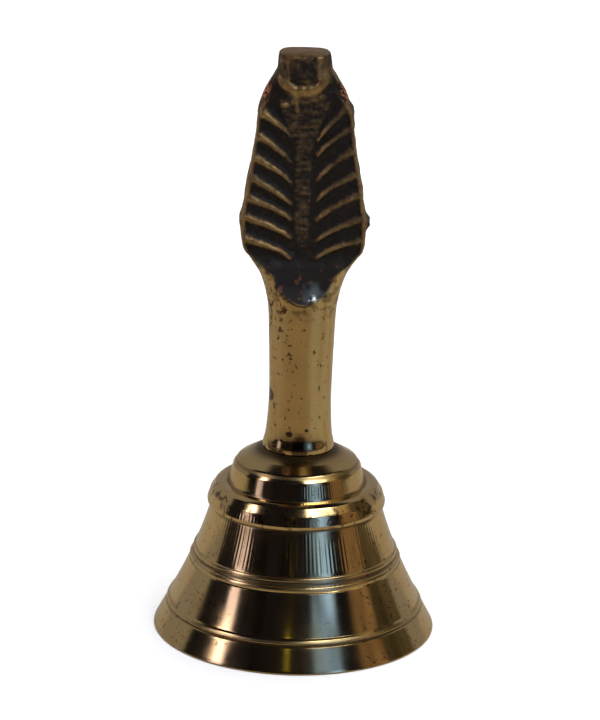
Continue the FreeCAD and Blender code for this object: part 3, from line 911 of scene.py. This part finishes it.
def spot(tree, x, z, middle, reach):
    """A soft round mark on the front and back faces, by its middle and reach across and up, in mm."""
    across = calc(tree, "DIVIDE", calc(tree, "SUBTRACT", x, middle[0] * MM), reach[0] * MM)
    up = calc(tree, "DIVIDE", calc(tree, "SUBTRACT", z, middle[1] * MM), reach[1] * MM)
    return ramp(tree, plus(tree, times(tree, across, across), times(tree, up, up)), 1.3, 0.5)


# Dark marks on the stem, by their middle and reach across and up, in mm.
STEM_MARKS = (
    ((-5.3, 45.8), (0.75, 1.3)),
    ((-1.6, 39.3), (0.7, 0.55)),
    ((1.6, 40.1), (0.4, 0.35)),
    ((-3.0, 37.9), (0.3, 0.3)),
)


def stem_pits(tree, here, x, z):
    """Casting pits: many on the upper left of the stem, a few elsewhere."""
    high = ramp_mm(tree, z, 44.0, 62.0)
    crowd = times(tree, ramp_mm(tree, x, 1.0, -4.0), plus(tree, 0.25, high), 0.075)
    return ramp(tree, plus(tree, noise(tree, here, 1.0, detail=3.0), crowd), 0.645, 0.70)


def stem_dark(tree, here, x, z):
    """Dark patches at the stem's foot, grime and painted shade where it meets the cup, and below the scoop, a
    dark spot low in the middle, and small marks.
    """
    # Grime and painted shade at the foot, where the stem stands on the cup, broken into patches.
    foot_patches = ramp(tree, noise(tree, here, 2.2, detail=3.0), 0.48, 0.58)
    foot = times(tree, ramp_mm(tree, z, 38.2, 35.7), foot_patches)
    low_dark_spot = times(tree, spot(tree, x, z, (0.4, 36.2), (1.6, 3.2)), 0.9)
    patches = ramp(tree, noise(tree, here, 1.3, detail=4.0), 0.47, 0.60)
    near_scoop = times(tree, ramp_mm(tree, z, 60.0, 63.5), patches, 0.6)
    dark = foot
    for mark in (low_dark_spot, near_scoop, *(spot(tree, x, z, middle, reach) for middle, reach in STEM_MARKS)):
        dark = calc(tree, "MAXIMUM", dark, mark)
    return dark


def stem_tone(tree, here, x, y, z, pits):
    """The stem's colour: a painted reflection, paler on the left and right with a painted darker reflection
    down the middle, browner in streaks, with pits and dark marks.
    """
    streaks = noise(tree, combine(tree, x, y, times(tree, z, 0.12)), 1.6, detail=3.0)
    middle = band_mm(tree, x, -3.8, -2.0, 1.0, 2.6)
    # Painted reflection: lighter on the left and right of the stem, darker down its middle.
    tone = blend(tree, ramp_mm(tree, x, 0.0, 3.0), STEM_LEFT_REFLECTION, STEM_RIGHT_REFLECTION)
    tone = blend(tree, times(tree, middle, 0.85), tone, STEM_MIDDLE_SHADE_AND_STREAKS)
    tone = blend(tree, ramp(tree, streaks, 0.40, 0.72, 0.0, 0.6), tone, STEM_MIDDLE_SHADE_AND_STREAKS)
    tone = blend(tree, times(tree, pits, 0.85), tone, PIT_BROWN)
    return blend(tree, times(tree, stem_dark(tree, here, x, z), 0.92), tone, MARK_DARK)


def leaf_tone(tree, here, fine, worn, glossy, facet_painted_reflection):
    """The leaf's colour: dark patina, worn ribs, a glossy scoop with a painted bluish reflection on its facet
    and a painted highlight on its drop, and copper edges painted bright as glints.
    """
    patina = blend(tree, ramp(tree, fine, 0.45, 0.75), PATINA_DARK, PATINA_BROWN)
    rubbed = blend(tree, ramp(tree, noise(tree, here, 1.6, detail=4.0), 0.42, 0.62), RIB_TAN, RIB_BROWN)
    tone = blend(tree, worn, patina, rubbed)
    tone = blend(tree, glossy, tone, SCOOP_BLACK)
    rosy = times(tree, glossy, ramp(tree, noise(tree, here, 1.5), 0.60, 0.68))
    tone = blend(tree, rosy, tone, SCOOP_ROSE)
    # Painted reflection of the facet and painted highlight of the drop.
    tone = blend(tree, facet_painted_reflection, tone, FACET_PAINTED_REFLECTION)
    # Copper-red edges painted bright as glints.
    copper_and_glint = times(tree, painted(tree, "copper_and_glint"), ramp(tree, fine, 0.42, 0.55))
    return blend(tree, copper_and_glint, tone, COPPER_AND_GLINT)


def cast_brass():
    material, tree, shader = new_material("cast_brass_handle")
    here, x, y, z = place_of(tree)
    relief, patina, glossy, facet_painted_reflection = (painted(tree, name) for name in ("relief", "patina", "glossy", "facet_painted_reflection"))
    bare = calc(tree, "SUBTRACT", 1.0, patina)
    broad = noise(tree, here, 5.0, detail=4.0)
    fine = noise(tree, here, 0.7, detail=4.0)
    pits = stem_pits(tree, here, x, z)
    speckle = times(tree, calc(tree, "SUBTRACT", fine, 0.5), 0.9, relief)
    worn = ramp(tree, plus(tree, relief, speckle), 0.28, 0.98)
    stem = stem_tone(tree, here, x, y, z, pits)
    leaf = leaf_tone(tree, here, fine, worn, glossy, facet_painted_reflection)
    plug(tree, shader.inputs["Base Color"], blend(tree, patina, stem, leaf))
    oxide = times(tree, patina, calc(tree, "SUBTRACT", 1.0, calc(tree, "MAXIMUM", worn, facet_painted_reflection)))
    plug(tree, shader.inputs["Metallic"], calc(tree, "SUBTRACT", 1.0, times(tree, oxide, 0.75)))
    shader.inputs["Specular IOR Level"].default_value = 0.3
    rough_leaf = calc(tree, "SUBTRACT", 0.60, times(tree, worn, 0.12))
    rough_leaf = calc(tree, "SUBTRACT", rough_leaf, times(tree, glossy, 0.30))
    rough_stem = plus(tree, ramp(tree, broad, 0.3, 0.7, 0.26, 0.36), times(tree, pits, 0.3))
    rough_stem = times(tree, rough_stem, ramp_mm(tree, z, 36.0, 52.0, 0.45, 1.0))
    rough = plus(tree, times(tree, patina, rough_leaf), times(tree, bare, rough_stem))
    plug(tree, shader.inputs["Roughness"], rough)
    cast = times(tree, fine, patina, calc(tree, "SUBTRACT", 1.3, glossy))
    lines = times(tree, turned_lines(tree, x, y, z, 0.5), 0.3, bare)
    height = calc(tree, "SUBTRACT", plus(tree, cast, lines), times(tree, pits, bare))
    bump(tree, shader, height, CASTING_RELIEF)
    return material


def plain_metal(name, colour, dark, rough):
    """Worn metal for the small parts inside the bell."""
    material, tree, shader = new_material(name)
    here, _, _, _ = place_of(tree)
    cloud = noise(tree, here, 1.6, detail=5.0)
    plug(tree, shader.inputs["Base Color"], blend(tree, ramp(tree, cloud, 0.4, 0.68), colour, dark))
    plug(tree, shader.inputs["Roughness"], ramp(tree, cloud, 0.35, 0.7, rough, rough + 0.25))
    shader.inputs["Metallic"].default_value = 1.0
    bump(tree, shader, noise(tree, here, 0.25, detail=3.0), SMALL_METAL_RELIEF)
    return material


# The small metals: colour, colour where worn, roughness, and the CAD pieces made of it.
SMALL_METALS = {
    "hanger_steel_worn": (
        (0.36, 0.355, 0.345), (0.13, 0.085, 0.055), 0.38, ("hanger_bolt", "crown_washer", "crown_nut")),
    "wire_steel_dark": ((0.34, 0.32, 0.30), (0.13, 0.09, 0.06), 0.35, ("clapper_link", "clapper_rod")),
    "ball_brass_dull": ((0.52, 0.37, 0.16), (0.24, 0.15, 0.07), 0.25, ("clapper_ball",)),
}


def dress_small_parts():
    """Give the CAD pieces inside the bell their metals, and return them."""
    pieces = []
    for name, (colour, dark, rough, nodes) in SMALL_METALS.items():
        metal = plain_metal(name, colour, dark, rough)
        for node in nodes:
            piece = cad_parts[node]
            for slot in piece.material_slots:
                slot.material = metal
            pieces.append(piece)
    return pieces


# ================================================================== the scene
bpy.context.scene.view_settings.view_transform = "Standard"
make_camera()
make_world()
make_wash(make_floor())
cup = make_cup(polished_brass())
make_handle(cast_brass())
make_underglow([cup] + dress_small_parts())

bpy.context.view_layer.update()
